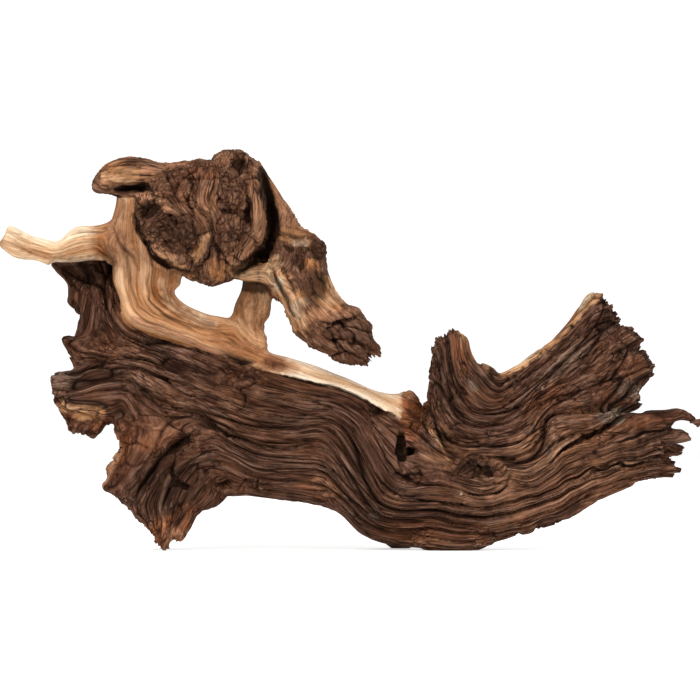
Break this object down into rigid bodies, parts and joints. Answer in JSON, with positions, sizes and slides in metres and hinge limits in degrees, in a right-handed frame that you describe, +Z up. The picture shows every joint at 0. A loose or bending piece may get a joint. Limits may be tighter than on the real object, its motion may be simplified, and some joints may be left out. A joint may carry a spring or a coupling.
{
  "type": "mopani root",
  "caption": "Weathered, twisted root wood with a ridged dark trunk, a pale looped root, a gnarled burl and splintered ends, resting on its lower edge.",
  "frame": {"origin": "on the surface that the root rests on, under the middle of its outline box", "axes": "+X along the root towards its splintered end, +Y from the front shown in the picture to the back, +Z up"},
  "size_m": [0.4542, 0.0948, 0.2602],
  "materials": {
    "weathered_wood": "matt weathered root wood: dark grey-brown ridged bark side, tan to cream stripped root, reddish brown torn places"
  },
  "bodies": {
    "root": {"mopani_root": "weathered_wood"}
  },
  "joints": []
}
